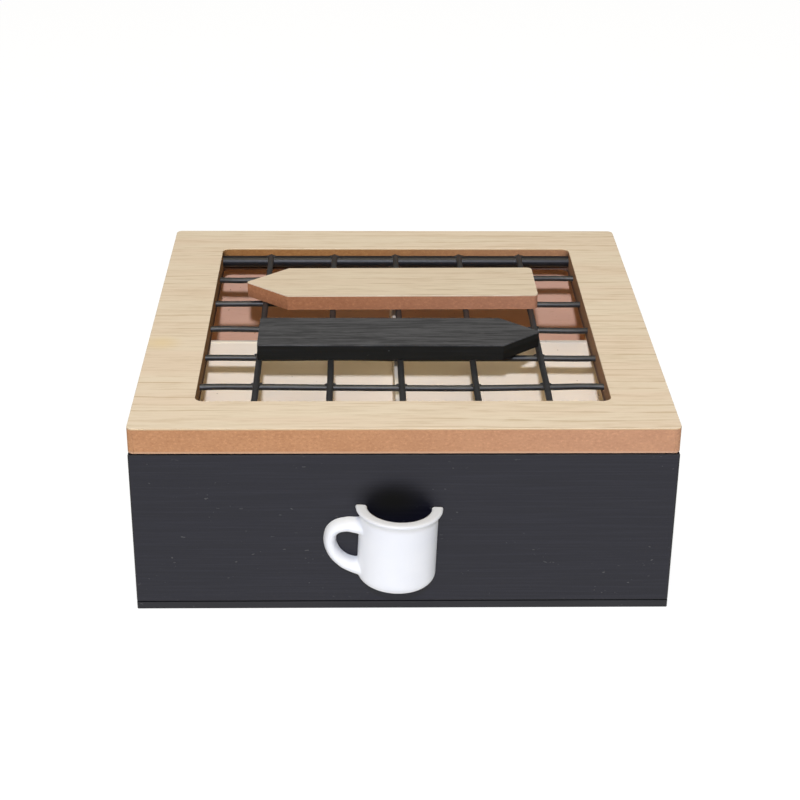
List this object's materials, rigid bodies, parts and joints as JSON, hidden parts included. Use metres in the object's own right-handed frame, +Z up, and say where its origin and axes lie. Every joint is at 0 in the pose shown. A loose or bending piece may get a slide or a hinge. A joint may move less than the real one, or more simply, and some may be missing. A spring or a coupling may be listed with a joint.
{
  "type": "tea chest with drawer",
  "caption": "Square tabletop tea chest: veneered top with a wire-grid window and blank arrow signs, over a black case with a divided drawer that a half mug pulls open.",
  "frame": {"origin": "centre of the square underside of the case, on the surface it stands on", "axes": "+X to the right, +Y to the back, away from the mug, +Z up; the drawer opens along -Y"},
  "size_m": [0.24, 0.2593, 0.0964],
  "materials": {
    "brown_fibreboard": "bare cut edge, matte",
    "pale_veneer": "unvarnished, matte",
    "black_painted_board": "thin black paint, satin",
    "dark_stained_veneer": "black stain, matte, grain open",
    "rose_board": "bare, matte",
    "cream_board": "bare, matte",
    "black_wire": "black enamel, satin",
    "white_glaze": "white glaze, gloss",
    "steel": "zinc plated",
    "clear_glue": "dried glue, satin"
  },
  "bodies": {
    "case": {"top_frame": "brown_fibreboard", "top_veneer": "pale_veneer", "grid_bar_front": "black_wire", "grid_bar_back": "black_wire", "grid_cross_wire_1": "black_wire", "grid_cross_wire_2": "black_wire", "grid_cross_wire_3": "black_wire", "grid_cross_wire_4": "black_wire", "grid_cross_wire_5": "black_wire", "grid_long_wire_1": "black_wire", "grid_long_wire_2": "black_wire", "grid_long_wire_3": "black_wire", "grid_long_wire_4": "black_wire", "grid_long_wire_5": "black_wire", "pale_sign_board": "brown_fibreboard", "pale_sign_veneer": "pale_veneer", "dark_sign_board": "black_painted_board", "dark_sign_veneer": "dark_stained_veneer", "sign_glue_beads": "clear_glue", "case_side_left": "black_painted_board", "case_side_right": "black_painted_board", "case_back": "black_painted_board", "case_base": "black_painted_board", "case_brads": "steel"},
    "drawer": {"drawer_front": "black_painted_board", "drawer_side_left": "rose_board", "drawer_side_right": "rose_board", "drawer_back": "rose_board", "drawer_bottom": "cream_board", "divider_cross": "cream_board", "divider_long": "cream_board", "drawer_brads": "steel", "mug_pull": "white_glaze", "mug_screws": "steel"}
  },
  "joints": [
    {"name": "drawer_slide", "type": "slide", "parent": "case", "child": "drawer", "axis": [0, -1, 0], "range_m": [0, 0.19]}
  ]
}
